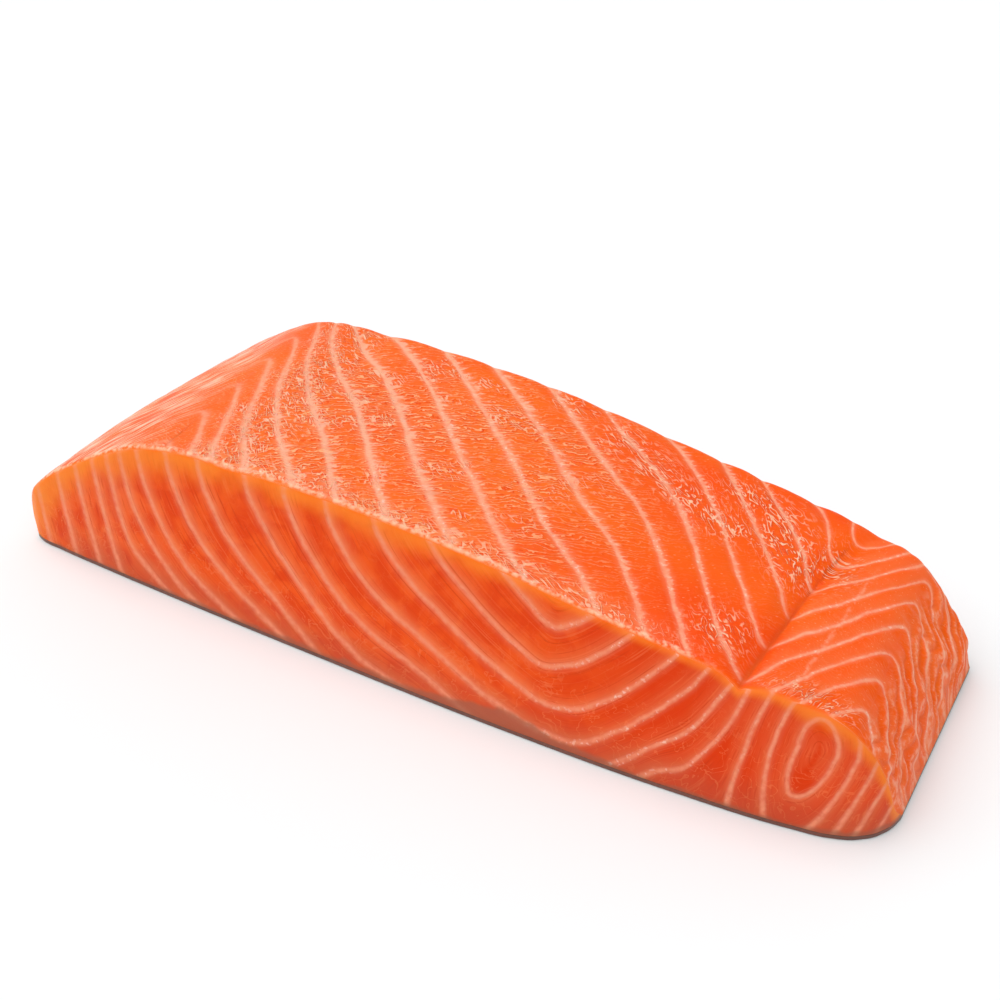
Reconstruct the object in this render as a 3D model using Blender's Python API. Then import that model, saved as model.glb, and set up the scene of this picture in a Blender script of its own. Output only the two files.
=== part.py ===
"""Raw salmon fillet: one thick portion cut across a whole side of fish, lying on its skin.

Metres, +Z up. X runs along the cut, from the thin belly edge to the thick back edge. Y runs along
the fish, from the front cut to the rear cut. The origin is the middle of the underside.

Two pieces: the flesh, and the skin that it lies on, which shows as a thin line under both cuts.
The flesh is drawn as two upright cuts, the front one and the rear one, with the surface stretched
between them. All sizes below are in millimetres, and MM turns them into metres.
"""

import bmesh
import bpy
import numpy as np

MM = 0.001

# ---- Driving dimensions (mm) ------------------------------------------------------------------

SKIN_THICKNESS = 0.8
SKIN_GAP = 0.3  # between the skin and the flesh, so that the two solids don't touch
CUT_EDGE_ROUND = 1.2  # how far the knife's edge between a cut and the top is rounded off
CUT_EDGE_CLEAR = 5.0  # the rounding stops this far above the underside
WELD = 0.02  # points nearer than this become one

COLUMNS = 118  # grid steps from the belly edge over the top to the back edge
ROWS = 25  # grid steps from the front cut to the rear cut

# Both cuts, as (x, z) points from the belly edge over the top to the back edge. Point n of one
# belongs to point n of the other, and the surface runs between them.
FRONT_CUT = (
    (-1.6, 0.0),  # belly edge, on the board
    (-3.0, 6.0),
    (-1.4, 12.5),
    (11.5, 23.4),  # belly slope
    (31.5, 34.3),
    (42.0, 36.7),  # crest of the slope
    (54.0, 37.5),
    (90.0, 37.5),  # top
    (122.0, 35.5),
    (134.0, 33.9),
    (162.0, 30.7),
    (183.0, 28.2),  # loin, between the groove and the back edge
    (189.5, 26.5),
    (194.2, 22.0),
    (197.8, 15.0),
    (201.2, 0.0),  # back edge, on the board
)
REAR_CUT = (
    (4.0, 0.0),
    (3.0, 6.0),
    (4.6, 12.0),
    (15.0, 23.4),
    (31.0, 34.6),
    (39.0, 38.6),
    (50.0, 40.6),
    (88.0, 39.5),
    (122.0, 35.7),
    (135.0, 33.5),
    (161.0, 30.0),
    (180.5, 27.4),
    (187.5, 25.8),
    (192.2, 21.8),
    (197.0, 13.8),
    (201.8, 0.0),
)

# Where each cut meets the board, as (x, y): the front one bows outwards, and both turn in at
# their ends.
FRONT_BASE = ((-3.0, 2.2), (0.0, 0.7), (7.0, -0.2), (20.0, -1.1), (40.0, -2.2), (80.0, -3.9),
              (124.0, -5.1), (160.0, -4.8), (184.0, -3.1), (194.0, -1.3), (198.5, 1.2), (200.6, 4.5))
REAR_BASE = ((2.0, 68.0), (7.0, 71.0), (20.0, 73.0), (40.0, 74.2), (100.0, 74.0), (150.0, 71.0),
             (185.0, 66.7), (196.0, 64.6), (202.0, 61.5))

# How far each cut leans into the fillet at CREST height, as (x, lean): the knife wasn't upright.
CREST = 38.0
FRONT_LEAN = ((0.0, 1.5), (40.0, 4.0), (120.0, 5.2), (200.0, 2.0))
REAR_LEAN = ((0.0, 9.0), (40.0, 11.0), (120.0, 12.6), (170.0, 15.0), (200.0, 18.5))

# The belly slope swells between the cuts: the height of the swelling, its middle and half width
# as shares of the way over the top.
SWELL = 2.1
SWELL_AT = 0.115
SWELL_WIDE = 0.07

# The groove that parts the loin from the rest, as (y, x), and how deep and wide it is.
GROOVE_LINE = ((0.0, 171.0), (17.0, 172.0), (31.0, 173.0), (47.0, 177.0), (60.0, 181.0))
GROOVE_DEEP = 1.7
GROOVE_WIDE = 3.0

# The shallow dip along the inner side of the belly crest, where the lines of the flesh turn.
DIP_X = 57.5
DIP_DEEP = 0.5
DIP_WIDE = 5.0

# ---- Materials --------------------------------------------------------------------------------

# sRGB colours, with roughness
FINISHES = {
    "raw salmon flesh": ((0.96, 0.46, 0.28), 0.35),
    "salmon skin": ((0.42, 0.40, 0.38), 0.4),
}


def linear(channel):
    """One sRGB channel as the linear value that Blender works in."""
    return channel / 12.92 if channel <= 0.04045 else ((channel + 0.055) / 1.055) ** 2.4


def finish(name):
    """The Principled BSDF material of that name."""
    colour, roughness = FINISHES[name]
    material = bpy.data.materials.new(name)
    material.use_nodes = True
    shader = material.node_tree.nodes["Principled BSDF"]
    shader.inputs["Base Color"].default_value = (*map(linear, colour), 1.0)
    shader.inputs["Roughness"].default_value = roughness
    return material


# ---- The shape as formulas --------------------------------------------------------------------


def through(knots, values, at):
    """A smooth curve through values at knots: cubic pieces that share their slope at each knot."""
    knots = np.asarray(knots, float)
    values = np.asarray(values, float)
    slopes = np.gradient(values, knots, axis=0)
    low = np.clip(np.searchsorted(knots, at, side="right") - 1, 0, len(knots) - 2)
    step = knots[low + 1] - knots[low]
    share = (at - knots[low]) / step
    if values.ndim > 1:
        step = step[:, None]
        share = share[:, None]
    rise = share * share * (3 - 2 * share)
    return (
        values[low] * (1 - rise)
        + values[low + 1] * rise
        + slopes[low] * step * share * (1 - share) ** 2
        - slopes[low + 1] * step * share**2 * (1 - share)
    )


def along(line, at):
    """A line of (place, value) points read at the places asked for, held at its end values."""
    places, values = np.array(line).T
    return through(places, values, np.clip(at, places[0], places[-1]))


def bell(distance, width):
    """A smooth bump: 1 in the middle, falling to near nothing at twice the width."""
    return np.exp(-((distance / width) ** 2))


def distances(points):
    """How far along a row of points each one lies."""
    steps = np.linalg.norm(np.diff(points, axis=0), axis=1)
    return np.concatenate([[0.0], np.cumsum(steps)])


def cut_outlines(columns):
    """Both cuts as points at even steps along their mean outline."""
    front = np.array(FRONT_CUT)
    rear = np.array(REAR_CUT)
    knots = np.sqrt(np.linalg.norm(np.diff((front + rear) / 2, axis=0), axis=1))
    knots = np.concatenate([[0.0], np.cumsum(knots)])
    fine = np.linspace(0.0, knots[-1], 2000)
    front = through(knots, front, fine)
    rear = through(knots, rear, fine)
    run = distances((front + rear) / 2)
    even = np.interp(np.linspace(0.0, run[-1], columns + 1), run, fine)
    front = np.column_stack([np.interp(even, fine, side) for side in front.T])
    rear = np.column_stack([np.interp(even, fine, side) for side in rear.T])
    return front, rear


def front_y(x, z):
    """The front cut's y at (x, z): its line on the board, and its lean."""
    return along(FRONT_BASE, x) + along(FRONT_LEAN, x) * z / CREST


def rear_y(x, z):
    """The rear cut's y at (x, z)."""
    return along(REAR_BASE, x) - along(REAR_LEAN, x) * z / CREST


def top_surface(columns, rows):
    """(x, y, z) grids of the surface between the cuts, rows from front to rear.

    Each point lies on the straight line between its two cuts. The belly slope then swells
    outwards, and the groove and the dip are pressed into the top.
    """
    front, rear = cut_outlines(columns)
    over = np.linspace(0.0, 1.0, columns + 1)[None, :]
    back = np.linspace(0.0, 1.0, rows + 1)[:, None]
    swell = SWELL * bell(over - SWELL_AT, SWELL_WIDE) * (4 * back * (1 - back)) ** 0.8
    swell = swell * (1 - 0.35 * back)
    x = front[:, 0] * (1 - back) + rear[:, 0] * back - 0.6 * swell
    z = front[:, 1] * (1 - back) + rear[:, 1] * back + 0.8 * swell
    front_line = front_y(front[:, 0], front[:, 1])
    rear_line = rear_y(rear[:, 0], rear[:, 1])
    y = front_line * (1 - back) + rear_line * back
    groove = GROOVE_DEEP * bell(x - along(GROOVE_LINE, y), GROOVE_WIDE)
    dip = DIP_DEEP * bell(x - DIP_X, DIP_WIDE)
    upper = np.clip(z / 10.0 - 1.0, 0.0, 1.0)
    z = z - (groove + dip) * upper
    return x, y, z


def base_x(outline_x):
    """The x on the board under each point of a cut's outline, so that no two share one place.

    Where the outline runs level it is the same x. Where the outline climbs, the points on the
    board still move on by a sixth of the way, and the whole is then stretched to fit.
    """
    steps = np.diff(outline_x)
    steps = np.maximum(steps, np.abs(steps).max() / 6)
    run = np.concatenate([[0.0], np.cumsum(steps)])
    return outline_x[0] + run / run[-1] * (outline_x[-1] - outline_x[0])


def board_outline(x, y):
    """The closed line of the fillet on the board, as (x, y), from the surface grids."""
    front_x = base_x(x[0])
    rear_x = base_x(x[-1])
    front = np.column_stack([front_x, front_y(front_x, 0.0)])
    rear = np.column_stack([rear_x, rear_y(rear_x, 0.0)])
    front[[0, -1], 1] = y[0, [0, -1]]
    rear[[0, -1], 1] = y[-1, [0, -1]]
    back_side = np.column_stack([x[:, -1], y[:, -1]])[1:-1]
    belly_side = np.column_stack([x[:, 0], y[:, 0]])[1:-1]
    return np.concatenate([front, back_side, rear[::-1], belly_side[::-1]])


# ---- The pieces -------------------------------------------------------------------------------


def finished_object(name, mesh_tool, material):
    """An object of that name from a bmesh, shaded smooth with its sharp edges kept."""
    mesh = bpy.data.meshes.new(name)
    mesh_tool.to_mesh(mesh)
    mesh_tool.free()
    mesh.materials.append(material)
    mesh.shade_smooth()
    mesh.set_sharp_from_angle(angle=np.radians(40))
    piece = bpy.data.objects.new(name, mesh)
    bpy.context.collection.objects.link(piece)
    return piece


def drop_to_board(tool, row, base, floor):
    """Joins one row of the grid to its line on the board with a strip of faces.

    Gives back the row's edges, which are the knife's edge of that cut.
    """
    lower = [tool.verts.new((across, deep, floor)) for across, deep in base]
    for n in range(len(row) - 1):
        tool.faces.new((row[n], lower[n], lower[n + 1], row[n + 1]))
    return [tool.edges.get(pair) for pair in zip(row, row[1:])]


def build_flesh(centre, material):
    """The flesh: the surface between the cuts, both cuts dropped to the board, and the underside."""
    floor = (SKIN_THICKNESS + SKIN_GAP) * MM
    x, y, z = top_surface(COLUMNS, ROWS)
    outline = (board_outline(x, y) - centre) * MM
    places = np.stack([x - centre[0], y - centre[1], z], axis=-1) * MM
    places[..., 2] = np.maximum(places[..., 2], floor)
    front_base = outline[: COLUMNS + 1]
    rear_base = outline[COLUMNS + ROWS : 2 * COLUMNS + ROWS + 1]

    tool = bmesh.new()
    sheet = bmesh.ops.create_grid(tool, x_segments=COLUMNS, y_segments=ROWS, size=1.0)["verts"]
    sheet.sort(key=lambda v: (round(v.co.y * ROWS), round(v.co.x * COLUMNS)))
    width = COLUMNS + 1
    grid = [sheet[row * width : (row + 1) * width] for row in range(ROWS + 1)]
    for row, verts in enumerate(grid):
        for column, vert in enumerate(verts):
            vert.co = places[row, column]
    knife_edges = drop_to_board(tool, grid[0], front_base, floor)
    knife_edges += drop_to_board(tool, grid[-1][::-1], rear_base, floor)
    clear = floor + CUT_EDGE_CLEAR * MM
    knife_edges = [edge for edge in knife_edges if min(v.co.z for v in edge.verts) > clear]
    bmesh.ops.remove_doubles(tool, verts=tool.verts, dist=WELD * MM)
    bmesh.ops.bevel(tool, geom=knife_edges, offset=CUT_EDGE_ROUND * MM, segments=3, profile=0.5,
                    affect="EDGES")
    bmesh.ops.holes_fill(tool, edges=[edge for edge in tool.edges if edge.is_boundary], sides=0)
    bmesh.ops.recalc_face_normals(tool, faces=tool.faces)
    return finished_object("flesh", tool, material)


def build_skin(centre, material):
    """The skin: a thin plate of the fillet's outline on the board."""
    x, y, _ = top_surface(COLUMNS, ROWS)
    outline = (board_outline(x, y) - centre) * MM
    tool = bmesh.new()
    underside = tool.faces.new([tool.verts.new((across, deep, 0.0)) for across, deep in outline])
    made = bmesh.ops.extrude_face_region(tool, geom=[underside])
    upper = [part for part in made["geom"] if isinstance(part, bmesh.types.BMVert)]
    bmesh.ops.translate(tool, verts=upper, vec=(0.0, 0.0, SKIN_THICKNESS * MM))
    bmesh.ops.recalc_face_normals(tool, faces=tool.faces)
    return finished_object("skin", tool, material)


def box_centre():
    """The middle of the fillet's box, in the (x, y) that the cuts are drawn in."""
    x, y, _ = top_surface(COLUMNS, ROWS)
    outline = board_outline(x, y)
    across = np.concatenate([x.ravel(), outline[:, 0]])
    deep = np.concatenate([y.ravel(), outline[:, 1]])
    return np.array([(across.min() + across.max()) / 2, (deep.min() + deep.max()) / 2])


def main():
    for old in list(bpy.data.objects):
        bpy.data.objects.remove(old, do_unlink=True)
    centre = box_centre()
    build_flesh(centre, finish("raw salmon flesh"))
    build_skin(centre, finish("salmon skin"))


main()
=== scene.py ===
"""Raw salmon fillet: the looks of one thick portion of raw salmon that lies on its skin.

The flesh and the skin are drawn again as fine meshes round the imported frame, from the same two
upright cuts that its solids are made of, and get the finish of fresh raw fish: pale sheets of
connective tissue (septa) between blocks of orange muscle, a wet outer face and a scaly skin.

Lengths in the shape formulas are millimetres, and MM turns them into metres. X runs along the
cut from the belly edge to the back edge, Y along the fish from the front cut to the rear cut.
"""

from functools import partial

import bmesh
import bpy
import numpy as np
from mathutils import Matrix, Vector


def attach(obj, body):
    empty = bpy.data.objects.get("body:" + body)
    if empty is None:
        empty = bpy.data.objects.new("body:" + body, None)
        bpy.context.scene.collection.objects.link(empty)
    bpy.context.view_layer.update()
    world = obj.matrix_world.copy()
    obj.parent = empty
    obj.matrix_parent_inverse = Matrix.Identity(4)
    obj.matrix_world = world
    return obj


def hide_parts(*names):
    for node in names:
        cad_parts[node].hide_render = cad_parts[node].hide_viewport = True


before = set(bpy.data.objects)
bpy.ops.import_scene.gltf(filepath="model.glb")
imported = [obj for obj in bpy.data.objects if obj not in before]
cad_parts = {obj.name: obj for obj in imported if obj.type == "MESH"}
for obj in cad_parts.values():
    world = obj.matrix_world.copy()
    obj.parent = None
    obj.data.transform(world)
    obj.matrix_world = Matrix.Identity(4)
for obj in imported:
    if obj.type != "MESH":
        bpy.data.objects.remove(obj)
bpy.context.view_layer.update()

MM = 0.001

bl_info = {
    "name": "Raw salmon fillet",
    "version": (1, 0, 0),
    "blender": (4, 5, 0),
    "location": "3D View > Sidebar > Salmon fillet",
    "description": "Makes a raw salmon fillet with its skin, and a pale studio to show it in",
    "category": "Add Mesh",
}

# ---- The two cuts (mm), as in the fillet's solids ----

SKIN_THICKNESS = 0.8

# (x, z) from the belly edge over the top to the back edge. Point n of one belongs to point n of
# the other, and the surface runs between them.
FRONT_CUT = (
    (-1.6, 0.0),  # belly edge, on the board
    (-3.0, 6.0),
    (-1.4, 12.5),
    (11.5, 23.4),  # belly slope
    (31.5, 34.3),
    (42.0, 36.7),  # crest of the slope
    (54.0, 37.5),
    (90.0, 37.5),  # top
    (122.0, 35.5),
    (134.0, 33.9),
    (162.0, 30.7),
    (183.0, 28.2),  # loin, between the groove and the back edge
    (189.5, 26.5),
    (194.2, 22.0),
    (197.8, 15.0),
    (201.2, 0.0),  # back edge, on the board
)
REAR_CUT = (
    (4.0, 0.0),
    (3.0, 6.0),
    (4.6, 12.0),
    (15.0, 23.4),
    (31.0, 34.6),
    (39.0, 38.6),
    (50.0, 40.6),
    (88.0, 39.5),
    (122.0, 35.7),
    (135.0, 33.5),
    (161.0, 30.0),
    (180.5, 27.4),
    (187.5, 25.8),
    (192.2, 21.8),
    (197.0, 13.8),
    (201.8, 0.0),
)

# Where each cut meets the board, as (x, y).
FRONT_BASE = ((-3.0, 2.2), (0.0, 0.7), (7.0, -0.2), (20.0, -1.1), (40.0, -2.2), (80.0, -3.9),
              (124.0, -5.1), (160.0, -4.8), (184.0, -3.1), (191.0, -1.9), (196.0, 0.4),
              (199.0, 3.4), (200.6, 6.6), (201.2, 9.0))
REAR_BASE = ((2.0, 68.0), (7.0, 71.0), (20.0, 73.0), (40.0, 74.2), (100.0, 74.0), (150.0, 71.0),
             (185.0, 66.7), (194.0, 63.9), (199.0, 60.4), (202.0, 56.5))

# How far each cut leans into the fillet at CREST height, as (x, lean).
CREST = 38.0
FRONT_LEAN = ((0.0, 1.5), (40.0, 4.0), (120.0, 5.2), (200.0, 2.0))
REAR_LEAN = ((0.0, 9.0), (40.0, 11.0), (120.0, 12.6), (170.0, 15.0), (200.0, 18.5))

# The belly slope's bulge, at a share of the way over the top
SWELL = 2.1
SWELL_AT = 0.115
SWELL_WIDE = 0.07
# The groove between belly and loin, as (y, x), and the crease at its bottom
GROOVE_LINE = ((0.0, 171.0), (17.0, 172.0), (31.0, 173.0), (47.0, 177.0), (60.0, 181.0))
GROOVE_DEEP = 1.7
GROOVE_WIDE = 3.0
CREASE_DEEP = 0.6
CREASE_WIDE = 0.8
# The shallow dip along the inner side of the belly crest
DIP_X = 57.5
DIP_DEEP = 0.5
DIP_WIDE = 5.0

# ---- The septa ----
#
# The septa are the level lines of a phase that grows by 1 from each one to the next. On the outer
# face it depends on the run (mm over the face from the belly edge) and on the depth (mm from the
# front cut to the rear one). Along the fish it climbs steadily; across it, it zigzags, because
# muscle blocks are folded into W shapes: the turns lie at the crest, the groove and the ridge.

MIDDLE_DEPTH = 38.0
RUN_PHASE = ((0.0, 3.9), (20.0, 2.2), (40.0, 0.15), (52.0, -1.25), (58.5, -1.8), (61.0, -1.5),
             (63.8, -1.0), (68.5, 0.0), (76.5, 1.0), (89.0, 2.0), (101.0, 3.0), (113.5, 4.0),
             (128.0, 5.0), (142.5, 6.0), (159.0, 7.0), (169.3, 8.0), (177.5, 9.0), (185.8, 10.0),
             (191.5, 10.6), (197.0, 10.1), (206.5, 8.35), (213.5, 7.3), (220.0, 8.1),
             (228.5, 9.05), (241.0, 10.1))
# (run, mm along the fish from one septum to the next)
SEPTUM_STEP = ((0.0, 13.0), (40.0, 14.0), (58.0, 15.8), (80.0, 16.5), (100.0, 17.6),
               (125.0, 17.6), (150.0, 16.4), (165.0, 16.0), (175.0, 16.0), (185.0, 15.5),
               (195.0, 12.5), (206.0, 12.0), (213.0, 12.8), (241.0, 12.0))
REAR_TIGHTER = 0.00025  # the steps close up towards the tail
# (depth, mm that the groove has moved towards the back)
GROOVE_SHIFT = ((0.0, 0.0), (20.0, 0.3), (28.0, 1.3), (44.0, 2.6), (64.0, 5.6), (76.0, 8.5))
# Where the blocks turn, as runs, and which way the septa run between the turns: mm along the fish
# for each mm across.
CREST_RUN = 58.5
GROOVE_RUN = 191.5
RIDGE_RUN = 213.5
SEPTA_SLOPES = (1.3, -1.5, 1.7, -1.4)

# On a cut face, a septum leaves the top edge, goes down and swings towards the back as it sinks.
# Those from the belly and those from the loin meet as nested Vs. These are the x at which they
# leave the top edge, each a whole phase from the next: up by 1 on the belly's side, and on the
# loin's down by 1 as far as RING_X and up by 1 past it.
BELLY_SEPTA = (-6.0, 1.0, 8.0, 14.0, 19.5, 24.0, 28.0, 33.0, 41.0, 49.5, 61.8, 71.4, 81.8, 93.3,
               106.0, 121.0, 134.0, 148.0)
BELLY_FIRST = -2.0
LOIN_SEPTA = (120.0, 131.5, 141.8, 150.2, 158.9, 164.8, 169.3, 172.3, 176.0, 179.5, 182.8, 186.3,
              189.8, 193.2, 196.5, 199.8, 203.2, 207.0)
LOIN_FIRST = 15.0
# (x, share of the full swing) on each side, and how the swing gathers towards the skin
BELLY_SWING = ((-3.0, 0.05), (18.0, 0.16), (29.0, 0.25), (34.0, 0.38), (46.0, 0.6), (57.0, 0.8),
               (68.0, 0.95), (90.0, 1.03), (105.0, 1.33), (119.0, 1.5), (131.0, 1.72),
               (205.0, 2.6))
LOIN_SWING = ((100.0, 1.2), (125.0, 1.1), (133.0, 1.03), (141.0, 0.82), (150.0, 0.68),
              (158.0, 0.55), (163.0, 0.41), (169.0, 0.27), (177.0, 0.11), (183.0, 0.0), (205.0, 0.0))
SWING_AT_SKIN = 29.0
SWING_BEND = ((80.0, 1.5), (115.0, 1.15))
BLEND = 0.1  # in phase, where the belly's septa meet the loin's
# The loin's cone shows as rings round (RING_X, RING_Z), which lean towards the belly below it.
RING_X = 186.3
RING_Z = 19.0
RING_LEAN = 0.25
RING_TALL = (0.3, 0.47)  # share of a height that counts as distance, below the axis and above
RING_CORE = 1.1  # no septum comes nearer to the axis

# How far (in phase) a septum strays from its even line
SEPTA_STRAY = 0.13

# On a cut face: (x, mm of fat over the skin), and (x, how fast the band of painted light under the
# top edge ends, as a share)
FAT_TOP = ((-3.0, 0.4), (30.0, 0.9), (80.0, 1.5), (108.0, 2.0), (120.0, 3.6), (127.0, 4.6),
           (134.0, 2.8), (146.0, 1.6), (202.0, 1.4))
BAND_ENDS = ((-3.0, 0.2), (3.0, 0.3), (14.0, 0.7), (28.0, 0.6), (42.0, 0.6), (62.0, 0.85),
             (105.0, 0.95), (130.0, 1.7), (176.0, 1.7), (186.0, 1.1), (202.0, 1.4))

# On the outer face, as (run, value): a septum's width (mm), how pale it is (0 to 1), and how far
# (mm) its teeth reach
SEPTUM_WIDE = ((0.0, 0.5), (40.0, 0.8), (52.0, 1.1), (66.0, 1.05), (130.0, 1.1), (160.0, 0.85),
               (192.0, 0.6), (241.0, 0.6))
SEPTUM_PALE = ((0.0, 0.05), (46.0, 0.05), (54.0, 0.16), (60.0, 0.5), (66.0, 0.8), (130.0, 0.8),
               (160.0, 0.75), (190.0, 0.7), (241.0, 0.6))
SEPTUM_TEETH = ((0.0, 0.0), (60.0, 0.5), (66.0, 1.7), (140.0, 1.7), (175.0, 1.0), (190.0, 0.2),
                (241.0, 0.0))

# Where the outer face is wrinkled and wet, as (run, depth, half widths).
WET_PATCHES = ((143.0, 66.0, 5.0, 6.0), (152.0, 60.0, 5.0, 6.0), (161.0, 55.0, 6.0, 5.0),
               (171.0, 50.0, 7.0, 5.0), (174.0, 66.0, 8.0, 5.0), (183.0, 57.0, 6.0, 8.0),
               (189.0, 47.0, 5.0, 8.0), (183.0, 13.0, 5.0, 7.0), (197.0, 54.0, 4.0, 8.0),
               (204.0, 3.0, 8.0, 4.0))

# ---- Grids ----

COLUMNS = 460  # belly edge to back edge
TOP_ROWS = 126  # front cut to rear cut
FRONT_ROWS = 56  # top edge of the front cut to the board
REAR_ROWS = 24


# ---- The studio (m and degrees) ----

FLOOR_SIDE = 6.0
FLOOR_DROP = 0.0002  # below the skin
BROAD_LIGHT_TOWARDS = (0.3, 0.25, -1.0)
BROAD_LIGHT_ANGLE = 70.0
LAMPS = (("high lamp", (-0.2, 0.4, 1.0)), ("left lamp", (-0.9, 0.35, 0.7)))
LAMP_WIDE = 0.09
CAMERA_PLACE = (0.1305, -0.233557, 0.2033)
CAMERA_AZIMUTH = 28.5
CAMERA_ELEVATION = 34.0


# ---- Small helpers ----


def linear_rgb(code):
    """An sRGB hex colour as the linear red, green and blue that Blender works in."""
    channels = np.array([int(code[n : n + 2], 16) for n in (0, 2, 4)]) / 255.0
    low = channels / 12.92
    high = ((channels + 0.055) / 1.055) ** 2.4
    return tuple(float(c) for c in np.where(channels <= 0.04045, low, high))


def through(knots, values, at):
    """A smooth curve through values at knots: cubic pieces that share their slope at each knot."""
    knots = np.asarray(knots, float)
    values = np.asarray(values, float)
    slopes = np.gradient(values, knots, axis=0)
    low = np.clip(np.searchsorted(knots, at, side="right") - 1, 0, len(knots) - 2)
    step = knots[low + 1] - knots[low]
    share = (at - knots[low]) / step
    if values.ndim > 1:
        step = step[:, None]
        share = share[:, None]
    rise = share * share * (3 - 2 * share)
    return (
        values[low] * (1 - rise)
        + values[low + 1] * rise
        + slopes[low] * step * share * (1 - share) ** 2
        - slopes[low + 1] * step * share**2 * (1 - share)
    )


def along(line, at):
    """A line of (place, value) points read at the places asked for, held at its end values."""
    places, values = np.array(line).T
    return through(places, values, np.clip(at, places[0], places[-1]))


def bell(distance, width):
    """A smooth bump: 1 in the middle, falling to near nothing at twice the width."""
    return np.exp(-((distance / width) ** 2))


def ramp(value, low, high):
    """0 below low, 1 above high, and a smooth S between them."""
    share = np.clip((value - low) / (high - low), 0.0, 1.0)
    return share * share * (3 - 2 * share)


def distances(points):
    """How far along a row of points each one lies."""
    steps = np.linalg.norm(np.diff(points, axis=0), axis=1)
    return np.concatenate([[0.0], np.cumsum(steps)])


def rough(x, y, seed):
    """Smooth random hills, about one to each unit of x and y, between -1 and 1.

    Each corner of a unit square has a height of its own, and the heights blend in between.
    """
    column = np.floor(x).astype(np.int64)
    row = np.floor(y).astype(np.int64)
    across = x - column
    up = y - row
    across = across * across * (3 - 2 * across)
    up = up * up * (3 - 2 * up)

    def height(c, r):
        mixed = np.sin(c * 127.1 + r * 311.7 + seed * 74.7) * 43758.5453
        return 2.0 * (mixed - np.floor(mixed)) - 1.0

    lower = height(column, row) * (1 - across) + height(column + 1, row) * across
    upper = height(column, row + 1) * (1 - across) + height(column + 1, row + 1) * across
    return lower * (1 - up) + upper * up


# ---- The fillet's surfaces ----


def cut_outlines(columns):
    """Both cuts as points at even steps along their mean outline."""
    front = np.array(FRONT_CUT)
    rear = np.array(REAR_CUT)
    knots = np.sqrt(np.linalg.norm(np.diff((front + rear) / 2, axis=0), axis=1))
    knots = np.concatenate([[0.0], np.cumsum(knots)])
    fine = np.linspace(0.0, knots[-1], 2000)
    front = through(knots, front, fine)
    rear = through(knots, rear, fine)
    run = distances((front + rear) / 2)
    even = np.interp(np.linspace(0.0, run[-1], columns + 1), run, fine)
    front = np.column_stack([np.interp(even, fine, side) for side in front.T])
    rear = np.column_stack([np.interp(even, fine, side) for side in rear.T])
    return front, rear


def front_y(x, z):
    """The front cut's y at (x, z): its line on the board, and its lean."""
    return along(FRONT_BASE, x) + along(FRONT_LEAN, x) * z / CREST


def rear_y(x, z):
    """The rear cut's y at (x, z)."""
    return along(REAR_BASE, x) - along(REAR_LEAN, x) * z / CREST


def top_surface(columns, rows):
    """(x, y, z) grids of the surface between the cuts, rows from front to rear.

    Each point lies on the straight line between its two cuts. The belly slope then swells
    outwards, and the groove and the dip are pressed into the top.
    """
    front, rear = cut_outlines(columns)
    over = np.linspace(0.0, 1.0, columns + 1)[None, :]
    back = np.linspace(0.0, 1.0, rows + 1)[:, None]
    swell = SWELL * bell(over - SWELL_AT, SWELL_WIDE) * (4 * back * (1 - back)) ** 0.8
    swell = swell * (1 - 0.35 * back)
    x = front[:, 0] * (1 - back) + rear[:, 0] * back - 0.6 * swell
    z = front[:, 1] * (1 - back) + rear[:, 1] * back + 0.8 * swell
    front_line = front_y(front[:, 0], front[:, 1])
    rear_line = rear_y(rear[:, 0], rear[:, 1])
    y = front_line * (1 - back) + rear_line * back
    off = x - along(GROOVE_LINE, y)
    crease = CREASE_DEEP * bell(off, CREASE_WIDE) * (1 - ramp(back, 0.45, 0.7))
    groove = GROOVE_DEEP * bell(off, GROOVE_WIDE) * (1 - 0.5 * ramp(back, 0.6, 1.0)) + crease
    dip = DIP_DEEP * bell(x - DIP_X, DIP_WIDE)
    upper = np.clip(z / 10.0 - 1.0, 0.0, 1.0)
    z = z - (groove + dip) * upper
    return x, y, z


def base_x(outline_x):
    """The x on the board under each point of a cut's outline, so that no two share one place.

    Where the outline runs level it is the same x. Where the outline climbs, the points on the
    board still move on by a sixth of the way, and the whole is then stretched to fit.
    """
    steps = np.diff(outline_x)
    steps = np.maximum(steps, np.abs(steps).max() / 6)
    run = np.concatenate([[0.0], np.cumsum(steps)])
    return outline_x[0] + run / run[-1] * (outline_x[-1] - outline_x[0])


def board_lines(x, y):
    """The front and the rear line of the fillet on the board, as (x, y) points per column."""
    front_x = base_x(x[0])
    rear_x = base_x(x[-1])
    front = np.column_stack([front_x, front_y(front_x, 0.0)])
    rear = np.column_stack([rear_x, rear_y(rear_x, 0.0)])
    front[[0, -1], 1] = y[0, [0, -1]]
    rear[[0, -1], 1] = y[-1, [0, -1]]
    return front, rear


def box_centre():
    """The middle of the fillet's box, in the (x, y) that the cuts are drawn in."""
    x, y, _ = top_surface(118, 25)
    front, rear = board_lines(x, y)
    across = np.concatenate([x.ravel(), front[:, 0], rear[:, 0]])
    deep = np.concatenate([y.ravel(), front[:, 1], rear[:, 1]])
    return np.array([(across.min() + across.max()) / 2, (deep.min() + deep.max()) / 2])


def cap_rows(edge, base, floor, y_at, rows):
    """One cut face as rows from its top edge to the board: straight lines in (x, z) per column."""
    down = np.linspace(0.0, 1.0, rows + 1)[1:, None]
    x = edge[0] * (1 - down) + base[:, 0] * down
    z = edge[2] * (1 - down) + floor * down
    y = y_at(x, z)
    y = y + (base[:, 1] - y[-1]) * down
    return x, y, z


# ---- The septa's phase ----


def unbent(run, depth):
    """The run with the groove moved to where it starts at the front cut."""
    return run - along(GROOVE_SHIFT, depth) * bell(run - GROOVE_RUN - 3.0, 14.0)


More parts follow.
